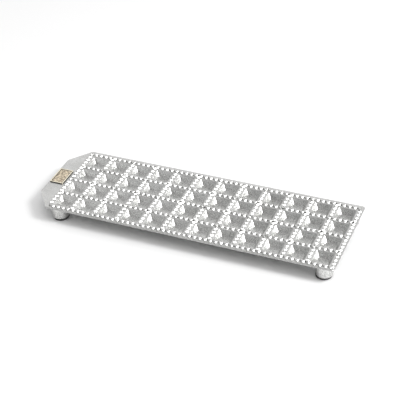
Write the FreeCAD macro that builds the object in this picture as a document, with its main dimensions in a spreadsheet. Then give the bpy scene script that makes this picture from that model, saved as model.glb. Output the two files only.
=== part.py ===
import FreeCAD, Part
import os
import Sketcher

# Ravioli mold: a one-piece cast aluminium tray with 4 rows of 12 square pockets, zigzag
# cutting ridges round every pocket, a plain tab at one end that carries a blank badge plate,
# and four cast bosses underneath, each with a rubber foot plugged into it.
# Frame: origin on the table, under the middle of the outline; +X along the tray, away from
# the tab; +Y to the back; +Z up. Millimetres.

CELLS_LONG = 12
CELLS_WIDE = 4
HALF_TEETH_PER_CELL = 9
CELLS_PER_RUN = 2

SIZES = {
    "pitch": 28.0,
    "ridge_land": 3.6,
    "pocket_depth": 7.0,
    "pocket_batter": 4.0,
    "shell_wall": 2.0,
    "shell_floor": 1.8,
    "plate_thickness": 2.0,
    "corner_radius": 2.0,
    "edge_bevel": 0.6,
    "front_margin": 3.8,
    "back_margin": 6.5,
    "end_margin": 3.3,
    "tab_reach": 22.8,
    "tab_width": 69.4,
    "shoulder_margin": 2.6,
    "ridge_height": 1.8,
    "ridge_base": 1.6,
    "ridge_crest": 0.6,
    "boss_height": 12.6,
    "boss_top_diameter": 19.4,
    "boss_diameter": 18.6,
    "boss_end_inset": 13.0,
    "boss_side_inset": 10.4,
    "foot_diameter": 18.2,
    "foot_height": 3.0,
    "foot_bevel": 0.6,
    "foot_offset": 0.6,
    "stem_diameter": 6.0,
    "stem_length": 6.0,
    "stem_clearance": 0.15,
    "badge_length": 28.5,
    "badge_width": 17.0,
    "badge_thickness": 1.2,
    "badge_corner_radius": 1.0,
    "badge_border": 1.4,
    "badge_recess": 0.4,
    "badge_gap": 4.9,
}

# Places worked out from the sizes, as expressions
FIELD_LENGTH = f"({CELLS_LONG} * sizes.pitch)"
FIELD_WIDTH = f"({CELLS_WIDE} * sizes.pitch)"
LENGTH = f"(sizes.tab_reach + {FIELD_LENGTH} + sizes.end_margin)"
WIDTH = f"(sizes.front_margin + {FIELD_WIDTH} + sizes.back_margin)"
TAB_END_X = f"(-{LENGTH} / 2)"
FAR_END_X = f"({LENGTH} / 2)"
FRONT_Y = f"(-{WIDTH} / 2)"
BACK_Y = f"({WIDTH} / 2)"
FIRST_RIDGE_X = f"({TAB_END_X} + sizes.tab_reach)"
FIRST_RIDGE_Y = f"({FRONT_Y} + sizes.front_margin)"
SHOULDER_X = f"({FIRST_RIDGE_X} - sizes.shoulder_margin)"
UNDERSIDE_Z = "(sizes.foot_height + sizes.boss_height)"
LAND_Z = f"({UNDERSIDE_Z} + sizes.plate_thickness)"
RUN_LENGTH = f"({CELLS_PER_RUN} * sizes.pitch)"
HALF_TOOTH = f"(sizes.pitch / {HALF_TEETH_PER_CELL})"
POCKET_HALF = "(sizes.pitch / 2 - sizes.ridge_land)"
RIDGE_ROOT = "(sizes.plate_thickness / 2)"
RIDGE_FLARE = "((sizes.ridge_base - sizes.ridge_crest) / 2 / sizes.ridge_height)"
BADGE_X = f"({FIRST_RIDGE_X} - sizes.badge_gap - sizes.badge_width / 2)"

doc = FreeCAD.newDocument("ravioli_mold")
sheet = doc.addObject("Spreadsheet::Sheet", "sizes")
for row, (alias, millimetres) in enumerate(SIZES.items(), 1):
    sheet.set(f"A{row}", str(millimetres))
    sheet.setAlias(f"A{row}", alias)
doc.recompute()


def value(expression):
    """Number that an expression gives with the sheet's present sizes."""
    result = sheet.evalExpression(expression)
    return getattr(result, "Value", result)


def new_body(name):
    body = doc.addObject("PartDesign::Body", name)
    body.Label = name
    return body


def origin_feature(body, role):
    return next(item for item in body.Origin.OriginFeatures if item.Role == role)


def new_sketch(body, name, role, base=("0", "0", "0"), turn=None):
    """Sketch on an origin plane of its own body, moved by expressions in the plane's own axes."""
    sketch = body.newObject("Sketcher::SketchObject", name)
    sketch.AttachmentSupport = (origin_feature(body, role), "")
    sketch.MapMode = "FlatFace"
    if turn is not None:
        sketch.AttachmentOffset = FreeCAD.Placement(FreeCAD.Vector(), turn)
    for axis, expression in zip("xyz", base):
        sketch.setExpression(f".AttachmentOffset.Base.{axis}", expression)
    return sketch


def bind(sketch, kind, geometry, point, expression):
    """Distance from the sketch's origin to a point, held by an expression."""
    index = sketch.addConstraint(
        Sketcher.Constraint(kind, -1, 1, geometry, point, value(expression)))
    sketch.setExpression(f"Constraints[{index}]", expression)


def draw_path(sketch, points, closed):
    """Straight lines through points given as pairs of expressions."""
    places = [FreeCAD.Vector(value(across), value(up), 0) for across, up in points]
    ends = places[1:] + places[:1] if closed else places[1:]
    lines = [Part.LineSegment(start, end) for start, end in zip(places, ends)]
    sketch.addGeometry(lines, False)
    joints = len(lines) if closed else len(lines) - 1
    sketch.addConstraint([
        Sketcher.Constraint("Coincident", k, 2, (k + 1) % len(lines), 1) for k in range(joints)])
    for k, (across, up) in enumerate(points):
        line, point = (k, 1) if k < len(lines) else (k - 1, 2)
        bind(sketch, "DistanceX", line, point, across)
        bind(sketch, "DistanceY", line, point, up)


def draw_rectangle(sketch, half_width, half_length):
    """Rectangle about the sketch's origin."""
    draw_path(sketch, [
        (f"-{half_width}", f"-{half_length}"), (half_width, f"-{half_length}"),
        (half_width, half_length), (f"-{half_width}", half_length)], True)


def add_feature(body, kind, name, **sizes):
    """Solid feature; values given as text are expressions, others are set as they are."""
    feature = body.newObject(f"PartDesign::{kind}", name)
    feature.Refine = False
    for key, setting in sizes.items():
        if isinstance(setting, str):
            feature.setExpression(key, setting)
        else:
            setattr(feature, key, setting)
    return feature


def dress_edges(body, kind, name, base, picked, **sizes):
    """Fillet or chamfer on the edges of the feature before it that the function picked accepts."""
    doc.recompute()
    names = [f"Edge{k}" for k, edge in enumerate(base.Shape.Edges, 1) if picked(edge)]
    return add_feature(body, kind, name, Base=(base, names), **sizes)


def repeat(body, name, original, along, along_count, across_count, spacing):
    """Rectangular pattern of one feature; the second direction is the other plan axis."""
    other = {"X_Axis": "Y_Axis", "Y_Axis": "X_Axis"}[along]
    pattern = add_feature(
        body, "LinearPattern", name, Originals=[original],
        Direction=(origin_feature(body, along), [""]),
        Direction2=(origin_feature(body, other), [""]))
    pattern.Occurrences = along_count
    pattern.Occurrences2 = across_count
    pattern.setExpression("Length", f"{spacing} * {max(along_count - 1, 1)}")
    pattern.setExpression("Length2", f"{spacing} * {max(across_count - 1, 1)}")
    body.Tip = pattern
    return pattern


def is_upright(edge):
    start, end = (vertex.Point for vertex in edge.Vertexes[:2]) if len(edge.Vertexes) > 1 \
        else (edge.Vertexes[0].Point,) * 2
    return start.distanceToPoint(end) > 1e-3 and abs(abs(end.z - start.z) - edge.Length) < 1e-6


def lies_at(level):
    return lambda edge: all(abs(vertex.Z - level) < 1e-6 for vertex in edge.Vertexes)


# The tray's plate: a rectangle with a chamfered tab at one end
def add_plate(body):
    outline = new_sketch(body, "plate_outline", "XY_Plane", ("0", "0", LAND_Z))
    draw_path(outline, [
        (SHOULDER_X, FRONT_Y), (FAR_END_X, FRONT_Y), (FAR_END_X, BACK_Y), (SHOULDER_X, BACK_Y),
        (TAB_END_X, "sizes.tab_width / 2"), (TAB_END_X, "-sizes.tab_width / 2")], True)
    plate = add_feature(
        body, "Pad", "plate", Profile=outline, Length="sizes.plate_thickness", Reversed=True)
    corners = dress_edges(
        body, "Fillet", "plate_corners", plate, is_upright, Radius="sizes.corner_radius")
    top = lies_at(value(LAND_Z))
    dress_edges(body, "Chamfer", "plate_edge", corners, top, Size="sizes.edge_bevel")


# Places of the four bosses, with the directions that lead inboard
def corner_places():
    for end_name, end_x, inward_x in (("tab", SHOULDER_X, 1), ("far", FAR_END_X, -1)):
        for side_name, side_y, inward_y in (("front", FRONT_Y, 1), ("back", BACK_Y, -1)):
            x = f"({end_x} + {inward_x} * sizes.boss_end_inset)"
            y = f"({side_y} + {inward_y} * sizes.boss_side_inset)"
            yield f"{side_name}_{end_name}", x, y, inward_x, inward_y


def stand_at(feature, x, y, z):
    """Turned primitive with its axis upright over a place given by expressions."""
    feature.AttachmentSupport = (origin_feature(feature.getParentGeoFeatureGroup(), "XY_Plane"), "")
    feature.MapMode = "FlatFace"
    for axis, expression in zip("xyz", (x, y, z)):
        feature.setExpression(f".AttachmentOffset.Base.{axis}", expression)


def add_bosses(body):
    for corner, x, y, _, _ in corner_places():
        boss = add_feature(
            body, "AdditiveCone", f"boss_{corner}", Radius1="sizes.boss_diameter / 2",
            Radius2="sizes.boss_top_diameter / 2", Height="sizes.boss_height")
        stand_at(boss, x, y, "sizes.foot_height")


# Blind holes in the bosses for the stems of the feet
def foot_places():
    for corner, x, y, inward_x, inward_y in corner_places():
        yield corner, f"({x} + {inward_x} * sizes.foot_offset)", y


def add_stem_holes(body):
    for corner, x, y in foot_places():
        hole = add_feature(
            body, "SubtractiveCylinder", f"stem_hole_{corner}",
            Radius="sizes.stem_diameter / 2 + sizes.stem_clearance",
            Height="sizes.stem_length + sizes.stem_clearance")
        stand_at(hole, x, y, "sizes.foot_height")


# Pockets: square, with battered walls and a flat floor; their shells show underneath.
# Each is a wedge that stands on the middle of the first pocket, with its narrow end down.
def add_wedge(body, kind, name, bottom, top, bottom_half, top_half):
    wedge = add_feature(
        body, kind, name,
        Xmin=f"-{top_half}", Xmax=top_half, X2min=f"-{bottom_half}", X2max=bottom_half,
        Zmin=f"-{top_half}", Zmax=top_half, Z2min=f"-{bottom_half}", Z2max=bottom_half,
        Ymin="0 mm", Ymax=f"{top} - {bottom}")
    wedge.AttachmentSupport = (origin_feature(body, "XZ_Plane"), "")
    wedge.MapMode = "FlatFace"
    wedge.AttachmentOffset = FreeCAD.Placement(
        FreeCAD.Vector(), FreeCAD.Rotation(FreeCAD.Vector(1, 0, 0), 180))
    place = (f"{FIRST_RIDGE_X} + sizes.pitch / 2", top, f"-({FIRST_RIDGE_Y} + sizes.pitch / 2)")
    for axis, expression in zip("xyz", place):
        wedge.setExpression(f".AttachmentOffset.Base.{axis}", expression)
    return wedge


def add_shells(body):
    batter = "(sizes.pocket_batter / sizes.pocket_depth)"
    top_half = f"({POCKET_HALF} + sizes.shell_wall - {RIDGE_ROOT} * {batter})"
    depth = "(sizes.pocket_depth + sizes.shell_floor)"
    bottom_half = f"({POCKET_HALF} + sizes.shell_wall - {depth} * {batter})"
    shell = add_wedge(body, "AdditiveWedge", "shell", f"({LAND_Z} - {depth})",
                      f"({LAND_Z} - {RIDGE_ROOT})", bottom_half, top_half)
    repeat(body, "shells", shell, "X_Axis", CELLS_LONG, CELLS_WIDE, "sizes.pitch")


def add_pockets(body):
    pocket = add_wedge(body, "SubtractiveWedge", "pocket", f"({LAND_Z} - sizes.pocket_depth)",
                       LAND_Z, f"({POCKET_HALF} - sizes.pocket_batter)", POCKET_HALF)
    repeat(body, "pockets", pocket, "X_Axis", CELLS_LONG, CELLS_WIDE, "sizes.pitch")


# Cutting ridges: a thin wall with battered sides that zigzags at right angles along every
# line between the pockets. A cell has an odd number of half teeth, so the zigzag repeats
# after two cells and neighbouring lines are mirrored; at each crossing both lines share
# one slanting stretch.
def add_ridge_run(body, name, along, sign, first_x, first_y):
    def place(distance, offset):
        return (distance, offset) if along == "X_Axis" else (offset, distance)

    count = CELLS_PER_RUN * HALF_TEETH_PER_CELL
    points = [place("0", "0")]
    for k in range(count):
        offset = f"{sign * (-1) ** k} * {HALF_TOOTH} / 2"
        points.append(place(f"{k + 0.5} * {HALF_TOOTH}", offset))
    points.append(place(f"{count} * {HALF_TOOTH}", "0"))
    path = new_sketch(body, f"{name}_path", "XY_Plane", (first_x, first_y, LAND_Z))
    draw_path(path, points, False)

    turn = FreeCAD.Rotation(FreeCAD.Vector(0, 1, 0), sign * 45)
    profile = new_sketch(body, f"{name}_profile", "YZ_Plane", (first_y, LAND_Z, first_x), turn)
    root = f"(sizes.ridge_base / 2 + {RIDGE_FLARE} * {RIDGE_ROOT})"
    crest = "(sizes.ridge_crest / 2)"
    draw_path(profile, [
        (f"-{root}", f"-{RIDGE_ROOT}"), (root, f"-{RIDGE_ROOT}"),
        (crest, "sizes.ridge_height"), (f"-{crest}", "sizes.ridge_height")], True)
    ridge = add_feature(body, "AdditivePipe", f"{name}_run", Profile=profile, Spine=path)
    ridge.Transition = "Right corner"
    return ridge


def add_ridges(body):
    next_x = f"{FIRST_RIDGE_X} + sizes.pitch"
    next_y = f"{FIRST_RIDGE_Y} + sizes.pitch"
    runs_long = CELLS_LONG // CELLS_PER_RUN
    runs_wide = CELLS_WIDE // CELLS_PER_RUN
    lines = [
        ("long_ridges", "X_Axis", 1, FIRST_RIDGE_X, FIRST_RIDGE_Y, runs_long, runs_wide + 1),
        ("long_ridges_between", "X_Axis", -1, FIRST_RIDGE_X, next_y, runs_long, runs_wide),
        ("cross_ridges", "Y_Axis", 1, FIRST_RIDGE_X, FIRST_RIDGE_Y, runs_wide, runs_long + 1),
        ("cross_ridges_between", "Y_Axis", -1, next_x, FIRST_RIDGE_Y, runs_wide, runs_long)]
    runs = [add_ridge_run(body, *line[:5]) for line in lines]
    for run, (name, along, _, _, _, along_count, across_count) in zip(runs, lines):
        last = repeat(body, name, run, along, along_count, across_count, RUN_LENGTH)
    return last


def make_tray():
    body = new_body("mold_tray")
    add_plate(body)
    add_bosses(body)
    add_stem_holes(body)
    add_shells(body)
    add_pockets(body)
    last = add_ridges(body)
    last.Refine = True
    body.Tip = last
    return body


# Rubber foot: a round pad with a bevelled lower edge and a stem on top
def make_foot(corner, x, y):
    body = new_body(f"foot_{corner}")
    profile = new_sketch(body, "foot_profile", "XZ_Plane")
    pad_radius = "(sizes.foot_diameter / 2)"
    stem_radius = "(sizes.stem_diameter / 2)"
    stem_top = "(sizes.foot_height + sizes.stem_length)"
    draw_path(profile, [
        ("0", "0"), (f"{pad_radius} - sizes.foot_bevel", "0"), (pad_radius, "sizes.foot_bevel"),
        (pad_radius, "sizes.foot_height"), (stem_radius, "sizes.foot_height"),
        (stem_radius, stem_top), ("0", stem_top)], True)
    foot = add_feature(body, "Revolution", "foot_turned", Profile=profile)
    foot.ReferenceAxis = (profile, ["V_Axis"])
    foot.Angle = 360
    body.Tip = foot
    body.setExpression(".Placement.Base.x", x)
    body.setExpression(".Placement.Base.y", y)
    return body


# Blank badge plate with a raised border, flat on the tab, on the tray's middle line
def make_badge():
    body = new_body("badge_plate")
    outline = new_sketch(body, "badge_outline", "XY_Plane")
    draw_rectangle(outline, "(sizes.badge_width / 2)", "(sizes.badge_length / 2)")
    plate = add_feature(body, "Pad", "badge", Profile=outline, Length="sizes.badge_thickness")
    corners = dress_edges(
        body, "Fillet", "badge_corners", plate, is_upright, Radius="sizes.badge_corner_radius")
    field = new_sketch(body, "badge_field", "XY_Plane", ("0", "0", "sizes.badge_thickness"))
    draw_rectangle(field, "(sizes.badge_width / 2 - sizes.badge_border)",
                   "(sizes.badge_length / 2 - sizes.badge_border)")
    recess = add_feature(
        body, "Pocket", "badge_recess", Profile=field, Length="sizes.badge_recess")
    body.Tip = recess
    body.setExpression(".Placement.Base.x", BADGE_X)
    body.setExpression(".Placement.Base.z", LAND_Z)
    return body


subparts = [make_tray(), make_badge()]
subparts += [make_foot(corner, x, y) for corner, x, y in foot_places()]
doc.recompute()

for item in doc.Objects:
    if "Invalid" in item.State or "Error" in item.State:
        raise RuntimeError(f"{item.Label} did not recompute: {item.State}")
os.makedirs("parts", exist_ok=True)
for subpart in subparts:
    shape = subpart.Shape
    if shape.isNull() or not shape.isValid():
        raise RuntimeError(f"{subpart.Label} has no valid shape")
    shape.exportStep(f"parts/{subpart.Label}.step")
    box = shape.BoundBox
    print(f"{subpart.Label}: {shape.Volume:.1f} mm3, {len(shape.Solids)} solid, "
          f"x {box.XMin:.2f} {box.XMax:.2f}, y {box.YMin:.2f} {box.YMax:.2f}, "
          f"z {box.ZMin:.2f} {box.ZMax:.2f}")
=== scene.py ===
import math
import bmesh
import bpy
from mathutils import Matrix, Vector


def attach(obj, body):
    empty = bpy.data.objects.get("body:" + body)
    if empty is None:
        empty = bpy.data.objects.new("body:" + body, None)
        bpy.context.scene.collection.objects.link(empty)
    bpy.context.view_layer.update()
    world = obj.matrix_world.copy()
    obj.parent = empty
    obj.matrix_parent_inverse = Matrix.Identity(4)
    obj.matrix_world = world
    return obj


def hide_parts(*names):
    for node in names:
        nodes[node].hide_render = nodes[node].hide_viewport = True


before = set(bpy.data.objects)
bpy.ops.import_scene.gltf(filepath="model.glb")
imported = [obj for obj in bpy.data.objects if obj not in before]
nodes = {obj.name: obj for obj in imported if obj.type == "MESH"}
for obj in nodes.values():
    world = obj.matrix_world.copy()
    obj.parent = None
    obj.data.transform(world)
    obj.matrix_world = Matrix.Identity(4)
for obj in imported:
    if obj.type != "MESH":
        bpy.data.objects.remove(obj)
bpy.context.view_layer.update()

scene = bpy.context.scene

# Heights over the table and sizes of the solid part, in metres. The land is the plate's face.
LAND = 0.0176
POCKET_FLOOR = 0.0106
BOSS_UNDERSIDE = 0.003
EDGE_BEVEL = 0.0006
HALF_OUTLINE = {"X": 0.18105, "Y": 0.06115}
BADGE_CENTRE = {"X": -0.17165, "Y": 0.0}
HALF_BADGE = {"X": 0.0085, "Y": 0.01425}


# Camera: the photograph's view, fitted to the crossings of the ridges
AZIMUTH = math.radians(23.2249)
ELEVATION = math.radians(35.2288)
ROLL = math.radians(-2.0445)
TARGET = Vector((0.00107, 0.00927, 0.0186))
DISTANCE = 1.34896
SENSOR_WIDTH = 36
FOCAL_LENGTH = 106.375

back = Vector((math.sin(AZIMUTH) * math.cos(ELEVATION),
               -math.cos(AZIMUTH) * math.cos(ELEVATION), math.sin(ELEVATION)))
level_right = (-back).cross(Vector((0, 0, 1))).normalized()
level_up = level_right.cross(-back)
right = level_right * math.cos(ROLL) + level_up * math.sin(ROLL)
up = level_up * math.cos(ROLL) - level_right * math.sin(ROLL)
camera_data = bpy.data.cameras.new("camera")
camera_data.sensor_width = SENSOR_WIDTH
camera_data.lens = FOCAL_LENGTH
camera = bpy.data.objects.new("camera", camera_data)
stand = Matrix((right, up, back)).transposed().to_4x4()
stand.translation = TARGET + back * DISTANCE
camera.matrix_world = stand
scene.collection.objects.link(camera)
scene.camera = camera


def new_material(name):
    material = bpy.data.materials.new(name)
    material.use_nodes = True
    tree = material.node_tree
    return material, tree, tree.nodes["Principled BSDF"]


# Shader nodes: each function adds one to a node tree and gives back what comes out of it
def texture_place(tree, kind="Object"):
    return tree.nodes.new("ShaderNodeTexCoord").outputs[kind]


def split_axes(tree, vector):
    node = tree.nodes.new("ShaderNodeSeparateXYZ")
    tree.links.new(vector, node.inputs["Vector"])
    return node.outputs


def add_noise(tree, place, scale, detail):
    node = tree.nodes.new("ShaderNodeTexNoise")
    node.inputs["Scale"].default_value = scale
    node.inputs["Detail"].default_value = detail
    tree.links.new(place, node.inputs["Vector"])
    return node.outputs["Fac"]


def add_ramp(tree, value, stops, interpolation="LINEAR"):
    """Colours along a value. Each stop is a position and a colour, and two exist from the start."""
    node = tree.nodes.new("ShaderNodeValToRGB")
    ramp = node.color_ramp
    ramp.interpolation = interpolation
    for element, (position, colour) in zip(ramp.elements, stops):
        element.position = position
        element.color = (*colour, 1)
    for position, colour in stops[2:]:
        ramp.elements.new(position).color = (*colour, 1)
    tree.links.new(value, node.inputs["Fac"])
    return node.outputs["Color"]


def remap(tree, value, source, target, interpolation="LINEAR"):
    """A value moved from the source range to the target range."""
    node = tree.nodes.new("ShaderNodeMapRange")
    node.interpolation_type = interpolation
    node.inputs["From Min"].default_value, node.inputs["From Max"].default_value = source
    node.inputs["To Min"].default_value, node.inputs["To Max"].default_value = target
    tree.links.new(value, node.inputs["Value"])
    return node.outputs["Result"]


def calculate(tree, operation, *terms):
    """The result of an operation on sockets and plain numbers."""
    node = tree.nodes.new("ShaderNodeMath")
    node.operation = operation
    for socket, term in zip(node.inputs, terms):
        if isinstance(term, (int, float)):
            socket.default_value = term
        else:
            tree.links.new(term, socket)
    return node.outputs["Value"]


# Aluminium: cast grain, faint cloudy stains, painted shade on the plate's outer sides and a little
# relief
GRAIN = {"scale": 1100, "detail": 4}
CLOUDS = {"scale": 60, "detail": 5}
STAINS = [(0.3, (0.63, 0.63, 0.618)), (0.7, (0.74, 0.74, 0.73))]
SPECKLE_HEIGHTS = (0.0155, 0.0175)
SPECKLE_STRENGTHS = (2.6, 0.9)
GRAIN_MIDDLE = 0.51
BRIGHTNESS = 0.95
# Painted shade on the plate's outer sides: where it starts, where it is full and how dark it gets
PAINTED_SHADE_STARTS = 0.0007
PAINTED_SHADE_IS_FULL = 0.0002
PAINTED_SIDE_SHADE = 0.68
ALUMINIUM_ROUGHNESS = (0.30, 0.42)
RELIEF_STRENGTH = 0.6
RELIEF_DISTANCE = 0.00018


def make_aluminium():
    material, tree, surface = new_material("cast_aluminium")
    surface.inputs["Metallic"].default_value = 1.0
    place = texture_place(tree)
    axes = split_axes(tree, place)
    grain = add_noise(tree, place, **GRAIN)
    clouds = add_noise(tree, place, **CLOUDS)
    stains = add_ramp(tree, clouds, STAINS)

    # Fine speckle of the casting, stronger in the pockets and below than on top of the plate
    strength = remap(tree, axes["Z"], SPECKLE_HEIGHTS, SPECKLE_STRENGTHS)
    centred = calculate(tree, "SUBTRACT", grain, GRAIN_MIDDLE)
    speckle = calculate(tree, "MULTIPLY_ADD", centred, strength, BRIGHTNESS)

    # Painted shade: the colour of the plate's outer sides is darkened, standing in for the shade
    # they fall in
    painted_shades = []
    for axis, limit in HALF_OUTLINE.items():
        reach = calculate(tree, "ABSOLUTE", axes[axis])
        band = (limit - PAINTED_SHADE_STARTS, limit - PAINTED_SHADE_IS_FULL)
        painted_shades.append(remap(tree, reach, band, (1.0, PAINTED_SIDE_SHADE)))
    painted_side_shade = calculate(tree, "MINIMUM", *painted_shades)

    shaded = tree.nodes.new("ShaderNodeVectorMath")
    shaded.operation = "SCALE"
    tree.links.new(stains, shaded.inputs[0])
    tree.links.new(calculate(tree, "MULTIPLY", speckle, painted_side_shade), shaded.inputs["Scale"])
    tree.links.new(shaded.outputs["Vector"], surface.inputs["Base Color"])
    rough = remap(tree, clouds, (0, 1), ALUMINIUM_ROUGHNESS)
    tree.links.new(rough, surface.inputs["Roughness"])
    relief = tree.nodes.new("ShaderNodeBump")
    relief.inputs["Strength"].default_value = RELIEF_STRENGTH
    relief.inputs["Distance"].default_value = RELIEF_DISTANCE
    tree.links.new(grain, relief.inputs["Height"])
    tree.links.new(relief.outputs["Normal"], surface.inputs["Normal"])
    return material


# Rubber: black with a little dust
RUBBER_ROUGHNESS = 0.55
DUST = {"scale": 400, "detail": 2}
RUBBER_COLOURS = [(0, (0.012, 0.012, 0.012)), (1, (0.03, 0.03, 0.03))]


def make_rubber():
    material, tree, surface = new_material("foot_rubber")
    surface.inputs["Roughness"].default_value = RUBBER_ROUGHNESS
    dust = add_noise(tree, texture_place(tree), **DUST)
    tree.links.new(add_ramp(tree, dust, RUBBER_COLOURS), surface.inputs["Base Color"])
    return material


# Badge, by the distance in from its outline: painted shade on its sides, a pale border, a painted
# shadow line in the corner of its recess and then a worn field. The bands are given as shares of
# their reach.
BADGE_ROUGHNESS = 0.42
MOTTLE = {"scale": 420, "detail": 6}
WORN_COLOURS = [(0.38, (0.22, 0.17, 0.12)), (0.60, (0.70, 0.60, 0.44))]
# The first and the third band are painted shade: the dark sides and the dark line in the recess
# corner
BANDS_WITH_PAINTED_SHADE = [(0, (0.03, 0.025, 0.02)), (0.03, (0.86, 0.80, 0.64)), (0.34, (0.05, 0.04, 0.03))]
BANDS_REACH = 0.004
FIELD_STARTS = 0.0021


def make_badge():
    material, tree, surface = new_material("badge")
    surface.inputs["Roughness"].default_value = BADGE_ROUGHNESS
    place = texture_place(tree)
    axes = split_axes(tree, place)
    worn = add_ramp(tree, add_noise(tree, place, **MOTTLE), WORN_COLOURS)
    depths = []
    for axis, centre in BADGE_CENTRE.items():
        offset = calculate(tree, "ABSOLUTE", calculate(tree, "SUBTRACT", axes[axis], centre))
        depths.append(calculate(tree, "SUBTRACT", HALF_BADGE[axis], offset))
    inward = calculate(tree, "MINIMUM", *depths)
    share = remap(tree, inward, (0, BANDS_REACH), (0, 1))
    bands_with_painted_shade = add_ramp(tree, share, BANDS_WITH_PAINTED_SHADE, "CONSTANT")

    # The colours of a mix node are its inputs 6 and 7 and its output 2
    colour = tree.nodes.new("ShaderNodeMix")
    colour.data_type = "RGBA"
    tree.links.new(calculate(tree, "GREATER_THAN", inward, FIELD_STARTS), colour.inputs[0])
    tree.links.new(bands_with_painted_shade, colour.inputs[6])
    tree.links.new(worn, colour.inputs[7])
    tree.links.new(colour.outputs[2], surface.inputs["Base Color"])
    return material


# The tray again as a soft-edged casting. Plate, pockets, shells and bosses keep the solid's faces
# and get rounded edges. The zigzag ridges are swept with rounded corners and crests.
# Distances in metres within which two heights, or two corners, count as the same:
NEAR = 2e-5
LEVEL_MARGIN = 0.0001
MERGE_DISTANCE = 2e-6

# How far a rounding reaches: on the underside, on rims at the height of the land, and elsewhere,
# which is inside the pockets and on the plate's upright corners
UNDERSIDE_ROUNDING = 0.0003
RIM_ROUNDING = 0.0004
WIDEST_ROUNDING = 0.001
SHARE_OF_EDGE = 0.4
ROUNDING_SEGMENTS = 3
SMOOTH_BELOW = math.radians(20)
FLAT_BELOW = math.radians(0.5)

# The bevel slants at 45 degrees, so it is about 1.41 times as long as it is high
LONGEST_SLANT = 1.45 * EDGE_BEVEL

# Ridges: crossings on a square grid, with nine half teeth from one crossing to the next
FIRST_CROSSING = (-0.15825, -0.05735)
PITCH = 0.028
CELLS = (12, 4)
HALF_TEETH_PER_CELL = 9
HALF_TOOTH = PITCH / HALF_TEETH_PER_CELL
CORNER_REACH = 0.001
CORNER_STEPS = 4
TIGHTEST = 0.00066
RIDGE_HEIGHT = 0.0018

# One side of a ridge's section, from the root up: distance from the middle, height over the land
RIDGE_SIDE = [(0.00105, -0.0002), (0.00088, 0.00004), (0.00076, 0.0002), (0.00038, 0.0015),
              (0.00030, 0.0017), (0.00015, RIDGE_HEIGHT - 0.00002)]
RIDGE_SECTION = [(-across, height) for across, height in RIDGE_SIDE] + [(0, RIDGE_HEIGHT)] \
    + RIDGE_SIDE[::-1]


def wanted_rounding(edge):
    """Distance in metres that the rounding of an edge reaches into its faces."""
    low, high = sorted(corner.co.z for corner in edge.verts)
    if edge.calc_face_angle(0) < SMOOTH_BELOW or high < BOSS_UNDERSIDE + LEVEL_MARGIN:
        return 0
    below_pockets = low < POCKET_FLOOR - LEVEL_MARGIN
    below_plate = low > POCKET_FLOOR + LEVEL_MARGIN and high < LAND - NEAR
    if below_pockets or below_plate:
        return UNDERSIDE_ROUNDING
    return RIM_ROUNDING if low > LAND - NEAR else WIDEST_ROUNDING


def round_edges(shape):
    weight = shape.edges.layers.float.new("bevel_weight_edge")
    for edge in shape.edges:
        near = min(side.calc_length() for corner in edge.verts for side in corner.link_edges
                   if side is not edge)
        edge[weight] = min(wanted_rounding(edge), SHARE_OF_EDGE * near) / WIDEST_ROUNDING
        edge.smooth = edge.calc_face_angle(0) < SMOOTH_BELOW or edge[weight] > 0
    for face in shape.faces:
        face.smooth = True


def close_edge_bevel(shape):
    """Brings the plate's small bevel together, so that its edge is rounded instead."""
    moves = []
    for edge in shape.edges:
        low, high = sorted(edge.verts, key=lambda corner: corner.co.z)
        slants = abs(high.co.z - low.co.z - EDGE_BEVEL) < NEAR
        if slants and edge.calc_length() < LONGEST_SLANT and high.co.z > LAND - NEAR:
            meeting = Vector((low.co.x, low.co.y, high.co.z))
            moves += [(high, meeting), (low, meeting)]
    for corner, meeting in moves:
        corner.co = meeting
    bmesh.ops.remove_doubles(shape, verts=shape.verts, dist=MERGE_DISTANCE)


def strip_ridges(shape):
    """Takes the ridges and the land between them away, and fills the land again."""
    gone = [face for face in shape.faces
            if all(corner.co.z > LAND - NEAR for corner in face.verts)]
    bmesh.ops.delete(shape, geom=gone, context="FACES")
    rims = [edge for edge in shape.edges if edge.is_boundary]
    bmesh.ops.triangle_fill(shape, edges=rims, use_beauty=True, normal=(0, 0, 1))
    below = [edge for edge in shape.edges
             if min(corner.co.z for corner in edge.verts) < LAND - NEAR]
    bmesh.ops.dissolve_limit(shape, angle_limit=FLAT_BELOW, verts=[], edges=below)


def zigzag(axis, sign):
    """Points and directions along a ridge's middle line, with its corners rounded."""
    count = CELLS[axis] * HALF_TEETH_PER_CELL
    corners = [Vector((0, 0))]
    for k in range(count):
        corners.append(Vector(((k + 0.5) * HALF_TOOTH, sign * (-1) ** k * HALF_TOOTH / 2)))
    corners.append(Vector((count * HALF_TOOTH, 0)))
    if axis == 1:
        corners = [Vector((corner.y, corner.x)) for corner in corners]
    legs = [(end - start).normalized() for start, end in zip(corners, corners[1:])]
    sections = [(corners[0], legs[0], 0)]
    for corner, before, after in zip(corners[1:], legs, legs[1:]):
        turn = math.copysign(1, before.cross(after))
        for step in range(CORNER_STEPS + 1):
            t = step / CORNER_STEPS
            spot = corner - before * CORNER_REACH * (1 - t) ** 2 + after * CORNER_REACH * t ** 2
            heading = (before * (1 - t) + after * t).normalized()
            sections.append((spot, heading, turn if 0 < step < CORNER_STEPS else 0))
    sections.append((corners[-1], legs[-1], 0))
    return sections


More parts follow.
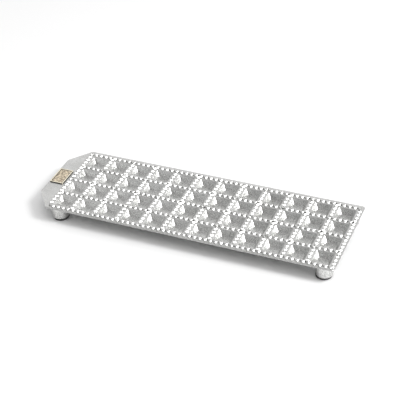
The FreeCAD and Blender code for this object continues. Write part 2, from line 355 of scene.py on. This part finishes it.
def add_ridge(shape, axis, line):
    """One ridge along an axis. Its section is kept narrow on the inside of a corner."""
    sign = 1 if line % 2 == 0 else -1
    start = Vector(FIRST_CROSSING)
    start[1 - axis] += line * PITCH
    rows = []
    for middle, heading, turn in zigzag(axis, sign):
        left = Vector((-heading.y, heading.x))
        row = []
        for across, height in RIDGE_SECTION:
            if across * turn > TIGHTEST:
                across = turn * TIGHTEST
            spot = start + middle + left * across
            row.append(shape.verts.new((spot.x, spot.y, LAND + height)))
        rows.append(row)
    for row, following in zip(rows, rows[1:]):
        for k in range(len(row)):
            n = (k + 1) % len(row)
            shape.faces.new((row[k], following[k], following[n], row[n])).smooth = True
    shape.faces.new(rows[0])
    shape.faces.new(rows[-1][::-1])


def new_piece(shape, name):
    mesh = bpy.data.meshes.new(name)
    shape.to_mesh(mesh)
    shape.free()
    piece = bpy.data.objects.new(name, mesh)
    scene.collection.objects.link(piece)
    return piece


def cast_tray(node, name):
    shape = bmesh.new()
    shape.from_mesh(node.data)
    bmesh.ops.remove_doubles(shape, verts=shape.verts, dist=MERGE_DISTANCE)
    close_edge_bevel(shape)
    strip_ridges(shape)
    round_edges(shape)
    piece = new_piece(shape, name)
    normals = piece.data.attributes.get("custom_normal")
    if normals:
        piece.data.attributes.remove(normals)
    rounding = piece.modifiers.new("rounding", "BEVEL")
    rounding.limit_method = "WEIGHT"
    rounding.width = WIDEST_ROUNDING
    rounding.segments = ROUNDING_SEGMENTS
    rounding.use_clamp_overlap = False
    rounding.harden_normals = True
    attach(piece, "root")
    return piece


def sweep_ridges(name):
    shape = bmesh.new()
    for axis in range(2):
        for line in range(CELLS[1 - axis] + 1):
            add_ridge(shape, axis, line)
    piece = new_piece(shape, name)
    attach(piece, "root")
    return piece


tray = cast_tray(nodes["mold_tray"], "mold_tray_casting")
ridges = sweep_ridges("mold_tray_ridges")
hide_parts("mold_tray")
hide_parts("mold_tray")
aluminium = make_aluminium()
tray.data.materials.append(aluminium)
ridges.data.materials.append(aluminium)
badge = make_badge()
rubber = make_rubber()
for name, node in nodes.items():
    if name != "mold_tray":
        node.data.materials.clear()
        node.data.materials.append(badge if name == "badge_plate" else rubber)


# Floor
FLOOR_SIZE = 8
FLOOR_COLOUR = (0.96, 0.96, 0.96, 1)
FLOOR_ROUGHNESS = 0.9

bpy.ops.mesh.primitive_plane_add(size=FLOOR_SIZE)
floor = bpy.context.object
floor.name = "floor"
floor_material, _, floor_surface = new_material("floor")
floor_surface.inputs["Base Color"].default_value = FLOOR_COLOUR
floor_surface.inputs["Roughness"].default_value = FLOOR_ROUGHNESS
floor_surface.inputs["Specular IOR Level"].default_value = 0.0
floor.data.materials.append(floor_material)


# Light: two low softboxes on the right and a weak one at the front left for the object, two high
# ones for the floor, and a world that is bright behind and dim in front
def new_group(name, members):
    group = bpy.data.collections.new(name)
    scene.collection.children.link(group)
    for member in members:
        group.objects.link(member)
    return group


def add_softbox(name, place, size, power, receivers):
    """A lamp in metres and watts that points at the origin and lights its receivers only."""
    light = bpy.data.lights.new(name, "AREA")
    light.shape = "RECTANGLE"
    light.size, light.size_y = size
    light.energy = power
    holder = bpy.data.objects.new(name, light)
    holder.location = place
    holder.rotation_euler = (-Vector(place)).to_track_quat("-Z", "Y").to_euler()
    scene.collection.objects.link(holder)
    holder.light_linking.receiver_collection = receivers


on_object = new_group("lit_object", [tray, ridges, *nodes.values()])
on_floor = new_group("lit_floor", [floor])
add_softbox("key", (3.0, -0.55, 1.50), (1.95, 1.0), 102, on_object)
add_softbox("strip", (2.8, -1.5, 0.7), (1.8, 0.6), 46, on_object)
add_softbox("front_left", (-0.80, -1.0, 0.5), (0.5, 0.4), 0.7, on_object)
add_softbox("floor_overhead", (0.0, -0.3, 1.5), (1.6, 1.2), 4.8, on_floor)
add_softbox("floor_key", (1.0, 0.2, 1.2), (0.45, 0.45), 11, on_floor)


# World: its strength by direction, first from front to back and then around the right. Directions
# are parts of a unit vector. The camera itself sees plain white.
FRONT_TO_BACK = (-0.5, 0.6)
STRENGTH_FRONT_TO_BACK = (0.36, 0.94)
GLOW_CENTRE = Vector((0.85, 0.1, 0.35)).normalized()
GLOW_NEARNESS = (0.80, 0.98)
GLOW_STRENGTH = 1.0
SEEN_STRENGTH = 1.0

world = bpy.data.worlds.new("studio")
scene.world = world
world.use_nodes = True
tree = world.node_tree
direction = texture_place(tree, "Generated")
behind = remap(tree, split_axes(tree, direction)["Y"], FRONT_TO_BACK, STRENGTH_FRONT_TO_BACK,
               "SMOOTHSTEP")
nearness = tree.nodes.new("ShaderNodeVectorMath")
nearness.operation = "DOT_PRODUCT"
tree.links.new(direction, nearness.inputs[0])
nearness.inputs[1].default_value = GLOW_CENTRE
glow = remap(tree, nearness.outputs["Value"], GLOW_NEARNESS, (0, GLOW_STRENGTH), "SMOOTHSTEP")

# The numbers of a mix node are its inputs 2 and 3 and its output 0
path = tree.nodes.new("ShaderNodeLightPath")
seen = tree.nodes.new("ShaderNodeMix")
seen.inputs[3].default_value = SEEN_STRENGTH
tree.links.new(path.outputs["Is Camera Ray"], seen.inputs["Factor"])
tree.links.new(calculate(tree, "ADD", behind, glow), seen.inputs[2])
sky = tree.nodes["Background"]
tree.links.new(seen.outputs[0], sky.inputs["Strength"])
sky.inputs["Color"].default_value = (1, 1, 1, 1)

scene.view_settings.view_transform = "Standard"
